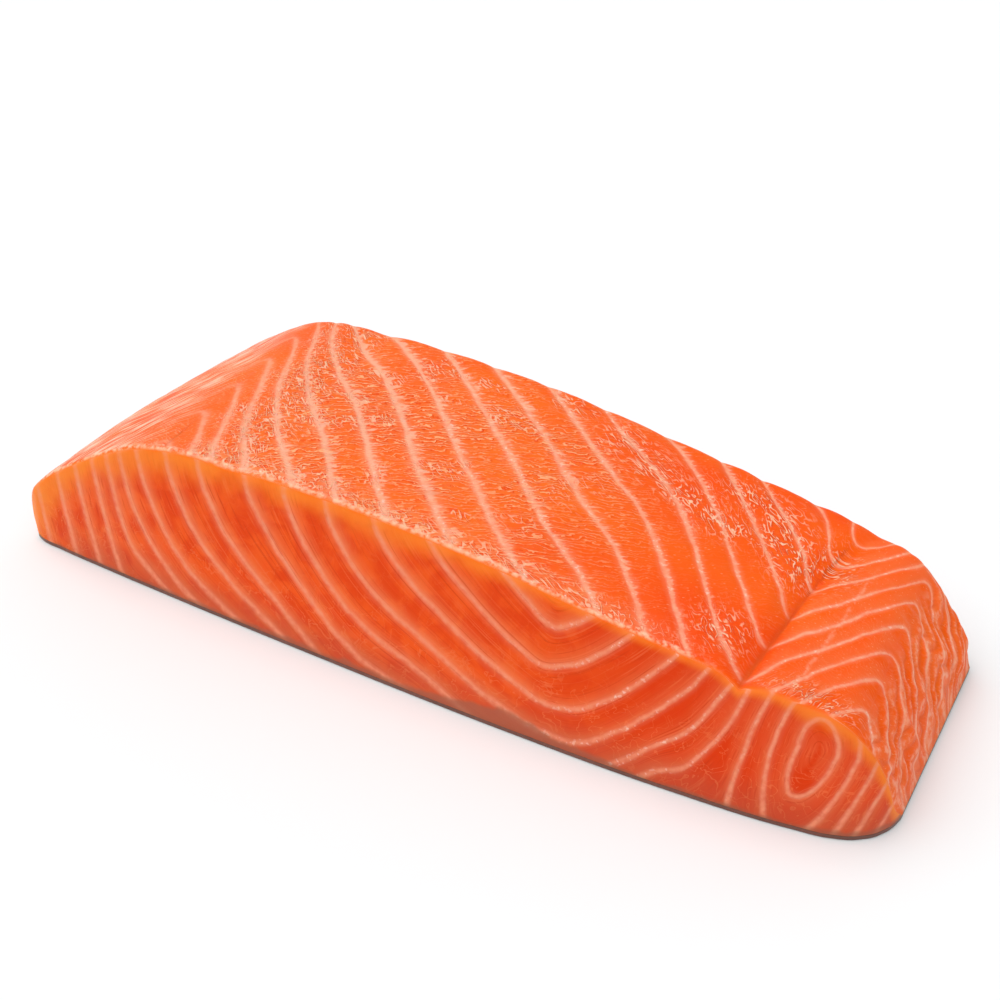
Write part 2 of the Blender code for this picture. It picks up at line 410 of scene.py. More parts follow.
def face_phase(run, depth):
    """The septa's phase on the outer face: the zigzag across, and the even climb along the fish."""
    run = unbent(run, depth)
    along_fish = (depth - MIDDLE_DEPTH) / along(SEPTUM_STEP, run)
    tighter = REAR_TIGHTER * np.maximum(depth - MIDDLE_DEPTH, 0.0) ** 2
    return along(RUN_PHASE, run) + along_fish + tighter


def along_septa(run, depth):
    """How far (mm) along the septa a point of the outer face lies, counted anew at each turn."""
    slopes = np.array(SEPTA_SLOPES)
    part = np.searchsorted((CREST_RUN, GROOVE_RUN, RIDGE_RUN), unbent(run, depth))
    slope = slopes[part]
    return (run + slope * depth) / np.hypot(1.0, slope) + 40.0 * part


def slope_streaks(run, depth):
    """How far (mm) across the streaks of the belly slope a point lies. They run straight on where
    the septa turn at the crest, and bend a little on the way."""
    return 0.72 * depth - run + 2.0 * rough(run / 14.0, depth / 20.0, 13)


def cut_phase(x, z, edge_x, edge_z):
    """The septa's phase on a cut face, at (x, z).

    On the belly's side of the V, a point has the phase of the top edge at the place its septum
    swung from, which is further towards the belly the deeper it lies. On the loin's side it swung
    from further towards the back. The smaller of the two holds, blended softly. Near the loin's
    axis, the distance from it takes the place of x, so that the septa close into rings.
    """
    sunk = np.maximum(37.0 - z, 0.0) / 34.0
    swung = x - SWING_AT_SKIN * sunk ** along(SWING_BEND, x) * along(BELLY_SWING, x)
    steps = np.arange(len(BELLY_SEPTA)) + BELLY_FIRST
    belly = along(tuple(zip(BELLY_SEPTA, steps)), swung)

    first = int(np.argmin(edge_x))
    top = np.interp(np.clip(x, 0.0, 190.0), np.maximum.accumulate(edge_x[first:]), edge_z[first:])
    swung = x + np.maximum(top - z, 0.0) * along(LOIN_SWING, x) - RING_X
    swung = swung + RING_LEAN * np.maximum(RING_Z - z, 0.0) * ramp(x, 176.0, 184.0)
    tall = np.where(z > RING_Z, RING_TALL[1], RING_TALL[0])
    side = np.where(swung > 0.0, 1.0, -1.0)
    at = RING_X + side * np.sqrt(swung**2 + ((z - RING_Z) * tall) ** 2 + RING_CORE**2)
    steps = LOIN_FIRST - np.arange(len(LOIN_SEPTA))
    turned = 2 * steps[LOIN_SEPTA.index(RING_X)] - steps
    steps = np.where(np.array(LOIN_SEPTA) > RING_X, turned, steps)
    loin = along(tuple(zip(LOIN_SEPTA, steps)), at)
    return -BLEND * np.logaddexp(-belly / BLEND, -loin / BLEND)


# ---- Meshes ----


def normals_of(places):
    """The unit normal at each point of a grid, from the steps to its neighbours both ways."""
    across = np.gradient(places, axis=1)
    down = np.gradient(places, axis=0)
    normal = np.cross(across, down)
    return normal / np.maximum(np.linalg.norm(normal, axis=-1, keepdims=True), 1e-9)


def pitch_of(places, phase):
    """The distance (mm) from one septum to the next at each point of a grid.

    It is one over the phase's slope along the surface, from the steps both ways.
    """
    across, down = np.gradient(places, axis=1), np.gradient(places, axis=0)
    wide, skew, tall = ((one * two).sum(-1) for one, two in (
        (across, across), (across, down), (down, down)))
    over, up = np.gradient(phase, axis=1), np.gradient(phase, axis=0)
    slope = tall * over * over - 2 * skew * over * up + wide * up * up
    slope = slope / np.maximum(wide * tall - skew * skew, 1e-9)
    return 1.0 / np.sqrt(np.maximum(slope, 1e-4))


def soften(values, rounds, weight):
    """Averages each row of a grid with the rows beside it, as much as its weight says."""
    for _ in range(rounds):
        middle = (values[:-2] + values[2:]) / 2 - values[1:-1]
        values[1:-1] += 0.5 * weight[1:-1] * middle
    return values


def along_cut(cap):
    """How far (mm) along the septa a point of a cut face lies: down, and outwards from the V."""
    x, _, z = cap
    return 0.8 * z - 0.6 * np.abs(x - 131.0)


def leaves(run, depth):
    """The leaves of the back edge: 0 in the furrow between two and 1 on their crests. They follow
    the septa, 1.7 to each block, and wander."""
    wander = 0.8 * rough(run / 10.0, depth / 8.0, 3) + 0.3 * rough(run / 4.0, depth / 3.0, 4)
    return np.abs(np.sin(np.pi * (1.7 * face_phase(run, depth) + wander))) ** 0.8


def face_relief(run, depth, z, sizes):
    """How far (mm) the outer face stands out: a pillow between each pair of septa, leaves and a
    low bulge on the back edge, and soft random hills. It fades out at the front cut, and to a
    part at the rear cut."""
    swell = np.abs(np.sin(np.pi * face_phase(run, depth))) ** 0.7 - 0.6
    swell = swell * ramp(run, 60.0, 66.0) * (1 - ramp(run, 212.0, 218.0))
    swell = swell * (1 + 0.8 * ramp(run, 150.0, 170.0) - 1.3 * ramp(run, 186.0, 194.0))
    end = ramp(run, 211.0, 219.0)
    hills = 0.16 * rough(run / 7.0, depth / 7.0, 1) + 0.08 * rough(run / 3.0, depth / 3.0, 2)
    hills = hills * (1 + ramp(run, 190.0, 200.0) + 2.0 * end)
    bulge = end * bell(z - 9.0, 6.0) * (0.3 + 0.9 * ramp(depth, 20.0, 70.0))
    swell = swell * (1 + ramp(depth, 50.0, 76.0))
    inside = ramp(depth, 0.0, 2.5) * (0.6 + 0.4 * ramp(2 * MIDDLE_DEPTH - depth, 0.0, 2.5))
    lift = sizes.pillow / MM * swell + sizes.fold / MM * (leaves(run, depth) - 0.6) * end
    return (lift + hills + bulge) * inside * ramp(z, 1.5, 6.0)


def face_marks(run, depth, crease):
    """What the material reads on the outer face: shares from 0 to 1, and the septa's line. The crease
    is the share of painted shade in the groove's bottom."""
    edge = ramp(depth, 0.2, 1.2)
    lively = 0.5 + 0.5 * ramp(rough(run / 9.0, depth / 9.0, 5), -0.5, 0.2)
    wrinkled = 0.3 * ramp(run, 44.0, 54.0) + 0.7 * ramp(run, 61.0, 67.0)
    wrinkled = wrinkled * (1 - 0.9 * ramp(run, 125.0, 175.0))
    wrinkled = wrinkled * (1 - 0.6 * ramp(depth, 50.0, 70.0)) * lively * edge
    # Crumpled are the wet patches, the kink beside the crest, the front cut's rim and stray spots
    wet = sum(bell(run - at, wide) * bell(depth - deep, long) for at, deep, wide, long in WET_PATCHES)
    kink = 0.8 * ramp(run, 66.0, 72.0) * (1 - ramp(run, 78.0, 84.0))
    rim = 0.7 * ramp(run, 62.0, 66.0) * (1 - ramp(run, 165.0, 185.0)) * (1 - ramp(depth, 3.0, 9.0))
    patches = 0.7 * ramp(rough(run / 7.0, depth / 6.0, 8), 0.25, 0.6) * ramp(run, 61.0, 66.0)
    patches = patches * (1 - ramp(run, 130.0, 160.0))
    crumpled = np.maximum(np.maximum(wet, kink), np.maximum(rim, patches)) * edge
    # How strongly glints are painted as bright dots on the septa
    glint_beads = ramp(run, 90.0, 125.0) * (0.2 + 0.4 * ramp(rough(run / 8.0, depth / 8.0, 12), -0.4, 0.4))
    tone = 0.15 + 0.5 * ramp(run, 110.0, 190.0) + 0.4 * rough(run / 16.0, depth / 16.0, 6)
    # Pale lines: the ragged lip of the front cut, one beside the groove, and the leaves' crests
    ragged = 0.7 + 0.5 * rough(run / 1.3, 0.0 * depth, 11)
    lip = 0.95 * (1 - ramp(depth - ragged, 0.0, 0.8)) * (1 - ramp(run, 175.0, 190.0))
    second = 0.35 * bell(run - 199.5 - 0.08 * depth, 0.35) * (1 - ramp(depth, 50.0, 65.0))
    end = ramp(run, 213.0, 219.0)
    # Painted shade in the gaps between the leaves of the back edge, and in the groove's crease
    crease_shade = 0.45 * end * ramp(0.5 - leaves(run, depth), 0.0, 0.35) + crease
    glow = 0.12 * ramp(unbent(run, depth), 191.0, 195.0)
    tone = tone * (1 - 0.3 * ramp(run, 192.0, 198.0) - 0.3 * end)
    fine = 0.4 * end * ramp(leaves(run, depth), 0.85, 1.0)
    shares = {
        "wrinkled": wrinkled,
        "crumpled": crumpled,
        "haze": 0.06 * wrinkled + 0.25 * rim,
        "glint_beads": glint_beads,
        "streaked": 0.9 * (1 - ramp(run, 44.0, 60.0)) * edge,
        "tone": tone,
        "pale_line": np.maximum(np.maximum(lip, second), fine),
        "crease_shade": crease_shade,
        "glow": glow,
    }
    shares = {name: np.clip(values, 0.0, 1.0) for name, values in shares.items()}
    uneven = 1.1 - 0.004 * depth + 0.3 * rough(run / 6.0, depth / 6.0, 9)
    return shares | {
        "width": along(SEPTUM_WIDE, run) * uneven,
        "pale": along(SEPTUM_PALE, run),
        "teeth": along(SEPTUM_TEETH, run),
    }


def cut_marks(x, z, top):
    """What the material reads on a cut face, at (x, z) below a top edge at the height top."""
    right = ramp(x, 120.0, 165.0)
    low = (1 - ramp(z, 0.0, 12.0)) * ramp(x, 2.0, 20.0)
    return {
        "tone": 0.25 + 0.75 * right,
        "glow": 0.5 - 0.2 * right,
        # Glints painted as bright dots on the septa
        "glint_beads": 0.7 * bell(x - 150.0, 20.0),
        "width": 1.15 - 0.45 * right + 0.4 * low,
        "pale": 0.6 + 0.1 * right,
        "low": 0.65 * low,
        "below_edge": (top - z) * along(BAND_ENDS, x),
        "fat": along(FAT_TOP, x),
    }


def flesh_grids(sizes):
    """The flesh from the board up the front cut, over the top and down the rear cut, as one grid.

    Gives the places (mm) and a dict of what the material reads at each of them.
    """
    floor = SKIN_THICKNESS + 0.1
    x, y, z = top_surface(COLUMNS, TOP_ROWS)
    front, rear = board_lines(x, y)
    z = z + floor * (1 - ramp(z, 0.0, 6.0))
    run = distances(np.column_stack([x[TOP_ROWS // 2], z[TOP_ROWS // 2]]))[None, :]
    depth = np.linspace(0.0, 2 * MIDDLE_DEPTH, TOP_ROWS + 1)[:, None]

    front_cap = cap_rows((x[0], y[0], z[0]), front, floor, front_y, FRONT_ROWS)
    rear_cap = cap_rows((x[-1], y[-1], z[-1]), rear, floor, rear_y, REAR_ROWS)

    def stack(front_part, top_part, rear_part):
        front_part = np.broadcast_to(front_part, front_cap[0].shape)
        top_part = np.broadcast_to(top_part, x.shape)
        rear_part = np.broadcast_to(rear_part, rear_cap[0].shape)
        return np.concatenate([front_part[::-1], top_part, rear_part])

    places = np.stack([stack(f, t, r) for f, t, r in zip(front_cap, (x, y, z), rear_cap)], axis=-1)
    phase = stack(cut_phase(front_cap[0], front_cap[2], x[0], z[0]), face_phase(run, depth),
                  cut_phase(rear_cap[0], rear_cap[2], x[-1], z[-1]))
    edges = (FRONT_ROWS, -REAR_ROWS)
    pitch = [pitch_of(*part) for part in zip(np.split(places, edges), np.split(phase, edges))]

    # The rows at both top edges are rounded off, except where the fillet is low
    row = np.arange(len(phase))[:, None]
    near_edge = np.minimum(np.abs(row - FRONT_ROWS), np.abs(row - FRONT_ROWS - TOP_ROWS))
    tall = ramp(np.minimum(z[0], z[-1])[None, :], 2.0, 6.0)
    places = soften(places, 5, ((1 - ramp(near_edge, 2, 6)) * tall)[..., None])
    lift = stack(0.0, face_relief(run, depth, z, sizes), 0.0)
    places += normals_of(places) * lift[..., None]

    # Where shade is painted into the bottom of the groove
    crease = bell(x - along(GROOVE_LINE, y), 0.6) * (1 - ramp(depth, 30.0, 50.0))
    parts = (cut_marks(front_cap[0], front_cap[2], z[0]), face_marks(run, depth, crease),
             cut_marks(rear_cap[0], rear_cap[2], z[-1]))
    names = parts[0] | parts[1]
    marks = {name: stack(*(part.get(name, 0.0) for part in parts)) for name in names}
    fibre = (
        10.0 * phase,
        stack(along_cut(front_cap), along_septa(run, depth), along_cut(rear_cap)),
        stack(0.0, slope_streaks(run, depth), 0.0),
    )
    marks |= {
        "septa": phase - SEPTA_STRAY / 2,
        "pitch": np.clip(np.concatenate(pitch), 2.5, 22.0),
        "cut": soften(stack(1.0, 0.0, 1.0), 2, np.ones_like(phase)),
        "fibre": np.stack(fibre, axis=-1),
    }
    return places, marks


def closed_mesh(name, places, marks):
    """A mesh of one grid of places (m), with its open edge closed by one flat face below, and
    its marks as attributes of its points."""
    rows, columns = places.shape[:2]
    index = np.arange(rows * columns).reshape(rows, columns)
    quads = np.stack([index[:-1, :-1], index[:-1, 1:], index[1:, 1:], index[1:, :-1]], axis=-1)
    ring = np.concatenate([index[0, ::-1], index[1:, 0], index[-1, 1:], index[-2:0:-1, -1]])
    mesh = bpy.data.meshes.new(name)
    mesh.from_pydata(places.reshape(-1, 3), [], [*quads.reshape(-1, 4).tolist(), ring.tolist()])
    for mark, values in marks.items():
        kind, field = ("FLOAT", "value") if values.ndim == 2 else ("FLOAT_VECTOR", "vector")
        attribute = mesh.attributes.new(mark, kind, "POINT")
        attribute.data.foreach_set(field, values.astype(np.float32).ravel())
    return mesh


def skin_tube(columns, rows):
    """The skin's places (mm) as a flat tube: rows from rear to front along the board, and back
    from front to rear one thickness higher. Each lies on the straight line from the front line on
    the board to the rear one."""
    x, y, _ = top_surface(columns, rows)
    front, rear = board_lines(x, y)
    share = np.linspace(0.0, 1.0, rows + 1)[:, None, None]
    level = front * (1 - share) + rear * share
    upper = np.concatenate([level, np.full(level.shape[:2] + (1,), SKIN_THICKNESS)], axis=-1)
    under = upper[::-1] * (1.0, 1.0, 0.0)
    return np.concatenate([under, upper])


def tube_mesh(name, places):
    """A mesh of a flat tube of places (m), with its two ends closed by a strip of quads."""
    rows, columns = places.shape[:2]
    index = np.arange(rows * columns).reshape(rows, columns)
    index = np.concatenate([index, index[:1]])
    quads = np.stack([index[:-1, :-1], index[:-1, 1:], index[1:, 1:], index[1:, :-1]], axis=-1)
    faces = [quads.reshape(-1, 4)]
    for side in (0, -1):
        low, high = index[: rows // 2, side], index[rows // 2 : rows, side][::-1]
        strip = np.stack([low[:-1], low[1:], high[1:], high[:-1]], axis=-1)
        faces.append(strip if side == 0 else strip[:, ::-1])
    mesh = bpy.data.meshes.new(name)
    mesh.from_pydata(places.reshape(-1, 3), [], np.concatenate(faces).tolist())
    return mesh


def add_piece(mesh, material, node):
    """An object of the mesh that stands for its CAD node: its doubles merged, shaded smooth with
    crisp edges where it turns sharply."""
    edit = bmesh.new()
    edit.from_mesh(mesh)
    bmesh.ops.remove_doubles(edit, verts=edit.verts, dist=0.000001)
    edit.to_mesh(mesh)
    edit.free()
    mesh.materials.append(material)
    mesh.validate()
    mesh.shade_smooth()
    mesh.set_sharp_from_angle(angle=np.radians(60.0))
    piece = bpy.data.objects.new(mesh.name, mesh)
    bpy.context.scene.collection.objects.link(piece)
    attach(piece, "root")
    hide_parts(node)
    return piece


# ---- Materials ----


def add(tree, kind, inputs=(), out=0, **settings):
    """Adds one shader node with its settings, and its inputs as values or links, in order or by
    name. Gives the output asked for."""
    node = tree.nodes.new("ShaderNode" + kind)
    for name, value in settings.items():
        setattr(node, name, value)
    for name, value in inputs.items() if isinstance(inputs, dict) else enumerate(inputs):
        if isinstance(value, bpy.types.NodeSocket):
            tree.links.new(value, node.inputs[name])
        else:
            node.inputs[name].default_value = value
    return node.outputs[out]


def new_material(name):
    """A node material with nothing but its shader and its output."""
    material = bpy.data.materials.new(name)
    material.use_nodes = True
    tree = material.node_tree
    tree.nodes.clear()
    output = tree.nodes.new("ShaderNodeOutputMaterial")
    shader = tree.nodes.new("ShaderNodeBsdfPrincipled")
    tree.links.new(shader.outputs[0], output.inputs["Surface"])
    return material, tree, shader


def colour(code):
    """An sRGB hex colour as a linear colour with an opacity of 1."""
    return (*linear_rgb(code), 1.0)


def layers(tree, tint, coats):
    """A colour with others laid over it in turn, each by its own mask."""
    for mask, code in coats:
        tint = add(tree, "Mix", {0: mask, 6: tint, 7: colour(code)}, out=2, data_type="RGBA")
    return tint


def flesh_material(colours, sizes):
    """Raw salmon flesh, knife-cut: soft, wet and translucent, so light bleeds a millimetre or two
    into it, with a thin film of water over it that gives small crisp glints on every wrinkle. Some
    light and shade is painted into its colour as well: highlights on wrinkle crests and curls, glints
    as dots on the septa, shade beside wrinkles and curls and in creases, and light through the cuts'
    top edges."""
    material, tree, shader = new_material("raw salmon flesh")
    node = partial(add, tree)
    soft = {"interpolation_type": "SMOOTHSTEP"}
    names = ("septa", "pitch", "width", "pale", "teeth", "cut", "below_edge", "fat", "low",
             "tone", "glow", "haze", "crease_shade", "pale_line", "wrinkled", "crumpled", "streaked",
             "glint_beads")
    (septa, pitch, width, pale, teeth, cut, below, fat_top, low,
     tone, glow, haze, crease_shade, pale_line, wrinkled, crumpled, streaked, glint_beads) = (
        node("Attribute", attribute_name=name, out=2) for name in names)
    # Places in mm: in space, and as (across the blocks, along the septa). Every pattern is drawn at
    # its real size except the wrinkles and the curls: the finest real ones are 0.5 mm apart
    place = node("VectorMath", [node("TexCoord", out=3), (1000.0,) * 3], operation="MULTIPLY")
    height = node("SeparateXYZ", [place], out=2)
    fibre = node("Attribute", attribute_name="fibre", out=1)
    down_fibre = node("SeparateXYZ", [fibre], out=1)

    # A septum: mm past the last one and mm left to the next, with teeth on its far side. It has a
    # frayed pale core, glints painted as bright dots on it, and a soft border
    stray = node("TexNoise", {"Vector": place, "Scale": 1 / 5.0, "Detail": 3.0})
    phase = node("Math", [stray, SEPTA_STRAY, septa], operation="MULTIPLY_ADD")
    step = node("Math", [phase], operation="FRACT")
    past = node("Math", [step, pitch], operation="MULTIPLY")
    left = node("Math", [pitch, past], operation="SUBTRACT")
    stretched = node("VectorMath", [fibre, (1 / 3.0, 1 / 0.9, 0.0)], operation="MULTIPLY")
    comb = node("TexNoise", {"Vector": stretched, "Scale": 1.0, "Detail": 2.0})
    reach = node("MapRange", [comb, 0.5, 0.75, 0.0, teeth])
    toothed = node("Math", [past, reach], operation="SUBTRACT")
    near = node("Math", [toothed, left], operation="MINIMUM")
    fray = node("TexNoise", {"Vector": place, "Scale": 1 / 1.4, "Detail": 2.0})
    fray = node("MapRange", [fray, 0.35, 0.65, 0.6, 1.15])
    frayed = node("Math", [fray, pale], operation="MULTIPLY")
    outer_edge = node("Math", [width, 0.95], operation="MULTIPLY")
    border_edge = node("Math", [width, 2.2], operation="MULTIPLY")
    soft_pale = node("Math", [pale, 0.35], operation="MULTIPLY")
    core = node("MapRange", [near, 0.05, outer_edge, frayed, 0.0], **soft)
    border = node("MapRange", [near, 0.0, border_edge, soft_pale, 0.0], **soft)
    glow = node("MapRange", [past, 0.2, 4.5, glow, 0.0], **soft)
    glint_dot = node("TexNoise", {"Vector": place, "Scale": 1 / 0.8, "Detail": 1.0})
    glint_dot = node("MapRange", [glint_dot, 0.58, 0.68, 0.0, glint_beads], **soft)
    glint_dot = node("Math", [glint_dot, core], operation="MULTIPLY")

    # Wrinkles across the blocks: parallel folds, bent by noise and broken into short strokes. Each
    # has a pale crest, partly the paler tissue and partly a painted highlight, and a painted shade
    # line just beside it
    stretched = node("VectorMath", [fibre, (1 / 4.5, 1 / 3.0, 0.0)], operation="MULTIPLY")
    bend = node("TexNoise", {"Vector": stretched, "Scale": 1.0, "Detail": 3.0, "Roughness": 0.55})
    turns = node("Math", [down_fibre, 2 * np.pi * MM / sizes.wrinkle], operation="MULTIPLY")
    turns = node("Math", [bend, 30.0, turns], operation="MULTIPLY_ADD")
    wave = node("Math", [turns], operation="SINE")
    stretched = node("VectorMath", [fibre, (1 / 3.0, 1 / 2.0, 0.0)], operation="MULTIPLY")
    broken = node("TexNoise", {"Vector": stretched, "Scale": 1.0, "Detail": 1.0})
    stroke = node("MapRange", [broken, 0.3, 0.5, 0.0, wrinkled], **soft)
    crest = node("MapRange", [wave, 0.5, 0.95, 0.0, stroke], **soft)
    turns = node("Math", [turns, 1.7], operation="SUBTRACT")
    shade = node("Math", [turns], operation="SINE")
    wrinkle_shade = node("MapRange", [shade, 0.6, 0.98, 0.0, stroke], **soft)

    # Curls where the face is crumpled: level lines of soft hills, longer along the septa and broken
    # like the wrinkles. They are painted highlights, the glints of the wet film, each with painted
    # shade beside it
    across = node("SeparateXYZ", [fibre], out=0)
    deep = node("SeparateXYZ", [place], out=1)
    stretched = node("CombineXYZ", [across, deep])
    stretched = node("VectorMath", [stretched, (1 / 1.8, 1 / 3.0, 0.0)], operation="MULTIPLY")
    hills = node("TexNoise", {"Vector": stretched, "Scale": 1.0, "Detail": 1.0, "Distortion": 0.5})
    turns = node("Math", [hills, 2 * np.pi * 4.5], operation="MULTIPLY")
    curl_wave = node("Math", [turns], operation="SINE")
    curled = node("MapRange", [broken, 0.36, 0.5, 0.0, crumpled], **soft)
    curl = node("MapRange", [curl_wave, 0.5, 1.0, 0.0, curled], **soft)
    turns = node("Math", [turns, 1.7], operation="SUBTRACT")
    shade = node("Math", [turns], operation="SINE")
    curl_shade = node("MapRange", [shade, 0.5, 0.98, 0.0, curled], **soft)

    # Streaks down the belly slope
    stretched = node("VectorMath", [fibre, (0.0, 1 / 11.0, 1 / 0.8)], operation="MULTIPLY")
    streak = node("TexNoise", {"Vector": stretched, "Scale": 1.0, "Detail": 4.0})
    pale_streak = node("MapRange", [streak, 0.48, 0.6, 0.0, streaked], **soft)
    dark_streak = node("MapRange", [streak, 0.46, 0.36, 0.0, streaked], **soft)

    grain = node("TexNoise", {"Vector": place, "Scale": 1 / 1.3, "Detail": 3.0})
    stretched = node("VectorMath", [fibre, (1 / 2.4, 1 / 0.9, 0.0)], operation="MULTIPLY")
    ticks = node("TexVoronoi", {"Vector": stretched, "Scale": 1.0})
    tick = node("MapRange", [ticks, 0.2, 0.08, 0.0, 0.45], **soft)
    pale_line = node("MapRange", [grain, 0.4, 0.6, 0.0, pale_line])
    # Painted light and shade here: highlights on wrinkle crests and curls, glints as dots on the
    # septa, shade beside wrinkles and curls and in the creases
    outer = layers(tree, colour(colours.face), (
        (tone, colours.face_deep), (haze, colours.wrinkle), (glow, colours.wrinkle),
        (border, colours.septum), (tick, colours.wrinkle), (dark_streak, colours.face_deep),
        (pale_streak, colours.streak), (wrinkle_shade, colours.wrinkle_shade), (curl_shade, colours.wrinkle_shade),
        (crest, colours.wrinkle), (curl, colours.streak), (core, colours.septum),
        (glint_dot, colours.wet), (pale_line, colours.streak), (crease_shade, colours.crease_shade)))

    # The knife's cuts: bundles of fibres, with fine flecks along them, pale veins lower down, and a
    # band of painted light under the top edge, where light shines through the thin edge
    bundle = node("TexNoise", {"Vector": place, "Scale": 1 / 6.0, "Detail": 4.0, "Distortion": 0.5})
    bundles = node("MapRange", [bundle, 0.38, 0.62, 0.0, 0.75], **soft)
    stretched = node("VectorMath", [fibre, (1 / 0.6, 1 / 4.0, 0.0)], operation="MULTIPLY")
    fibres = node("TexNoise", {"Vector": stretched, "Scale": 1.0, "Detail": 3.0})
    fleck = node("MapRange", [fibres, 0.55, 0.7, 0.0, 0.6], **soft)
    hair = node("MapRange", [fibres, 0.44, 0.3, 0.0, 0.3], **soft)
    veins = node("TexNoise", {"Vector": place, "Scale": 1 / 3.5, "Detail": 2.0, "Distortion": 0.6})
    off = node("Math", [veins, 0.5, 0.012], operation="COMPARE")
    vein = node("MapRange", [height, 8.0, 20.0, 0.45, 0.08])
    vein = node("Math", [off, vein], operation="MULTIPLY")
    ragged = node("TexNoise", {"Vector": place, "Scale": 1 / 5.0, "Detail": 2.0})
    # Painted light: the bright band where light shines through the thin top edge; the septa show less
    # inside it
    band = node("Math", [ragged, 4.0, below], operation="MULTIPLY_ADD")
    band = node("MapRange", [band, 1.5, 8.0, 0.85, 0.0], **soft)
    clear = node("MapRange", [below, 0.5, 5.0, 0.65, 1.0], **soft)
    cut_core = node("Math", [core, clear], operation="MULTIPLY")
    fat = node("Math", [ragged, 2.5, height], operation="MULTIPLY_ADD")
    fat = node("Math", [fat, fat_top], operation="SUBTRACT")
    fat = node("MapRange", [fat, 0.9, 2.2, 0.75, 0.0], **soft)
    # Painted light here: the bright band under the top edge, and glints as bright dots on the septa
    inner = layers(tree, colour(colours.cut), (
        (bundles, colours.cut_deep), (tone, colours.cut_deep), (glow, colours.cut_pale),
        (border, colours.cut_septum), (hair, colours.cut_pale), (fleck, colours.cut_fleck),
        (vein, colours.cut_pale), (low, colours.cut_low), (band, colours.edge_light_band),
        (cut_core, colours.cut_septum), (glint_dot, colours.wet), (fat, colours.skin_fat)))
    flesh = node("Mix", {0: cut, 6: outer, 7: inner}, out=2, data_type="RGBA")
    tree.links.new(flesh, shader.inputs["Base Color"])

    # Relief in mm
    relief = node("Math", [grain, 0.08], operation="MULTIPLY")
    for swell, share, tall in ((wave, stroke, sizes.wrinkle_height / MM), (curl_wave, curled, 0.1),
                               (streak, streaked, 0.12)):
        scaled = node("Math", [share, tall], operation="MULTIPLY")
        relief = node("Math", [swell, scaled, relief], operation="MULTIPLY_ADD")
    bump = node("Bump", {"Height": relief, "Strength": 1.0, "Distance": MM})
    tree.links.new(bump, shader.inputs["Normal"])
    tree.links.new(bump, shader.inputs["Coat Normal"])
    # Flesh and its film are mostly water. Red light gets several times further in than the rest
    for name, value in (
        ("Roughness", 0.45), ("IOR", 1.36), ("Specular IOR Level", 0.06), ("Coat Weight", 0.17),
        ("Coat Roughness", 0.09), ("Coat IOR", 1.33), ("Subsurface Weight", 0.5),
        ("Subsurface Radius", (1.0, 0.15, 0.08)), ("Subsurface Scale", 0.002),
    ):
        shader.inputs[name].default_value = value
    return material


def skin_material(colours, sizes):
    """Salmon skin: dark grey-brown, with overlapping scales under a thin wet film, which gives the
    fillet its thin dark line along the board."""
    material, tree, shader = new_material("salmon skin")
    node = partial(add, tree)
    wide, long = 0.75 * sizes.scale, sizes.scale
    place = node("VectorMath", [node("TexCoord", out=3), (1 / wide, 1 / long, 0.0)],
                 operation="MULTIPLY")
    cells = {"Vector": place, "Scale": 1.0, "Randomness": 0.35}
    rim = node("TexVoronoi", cells, feature="DISTANCE_TO_EDGE")
    rim = node("MapRange", [rim, 0.02, 0.16, 0.9, 0.0], interpolation_type="SMOOTHSTEP")
    upright = node("SeparateXYZ", [node("TexCoord", out=1)], out=2)
    flat = node("Math", [upright], operation="ABSOLUTE")
    rim = node("Math", [rim, flat], operation="MULTIPLY")
    dome = node("TexVoronoi", cells)
    mottle = node("TexNoise", {"Vector": node("TexCoord", out=3), "Scale": 90.0, "Detail": 4.0})
    mottle = node("MapRange", [mottle, 0.4, 0.62, 0.0, 0.8], interpolation_type="SMOOTHSTEP")
    tint = layers(tree, colour(colours.skin),
                  ((mottle, colours.skin_brown), (rim, colours.skin_edge)))
    tree.links.new(tint, shader.inputs["Base Color"])
    bump = node("Bump", {"Height": dome, "Strength": 1.0, "Distance": -0.0002})
    tree.links.new(bump, shader.inputs["Normal"])
    shader.inputs["Roughness"].default_value = 0.35
    shader.inputs["Metallic"].default_value = 0.15
    return material


# ---- Settings ----


class SalmonSizes(bpy.types.PropertyGroup):
    """Sizes of the fillet's relief."""

    pillow: bpy.props.FloatProperty(
        name="Block height", description="How far a block stands above its septa", default=0.00022,
        unit="LENGTH", precision=5)
    fold: bpy.props.FloatProperty(
        name="Leaf height", description="How far a leaf of the back edge stands out",
        default=0.0005, unit="LENGTH", precision=5)
    wrinkle: bpy.props.FloatProperty(
        name="Wrinkle step", description="From one wrinkle of the outer face to the next",
        default=0.0012, unit="LENGTH", precision=5)
    wrinkle_height: bpy.props.FloatProperty(
        name="Wrinkle height", description="Half the height of a wrinkle", default=0.00007,
        unit="LENGTH", precision=5)
    scale: bpy.props.FloatProperty(
        name="Scale length", description="Length of one scale of the skin", default=0.004,
        unit="LENGTH", precision=4)


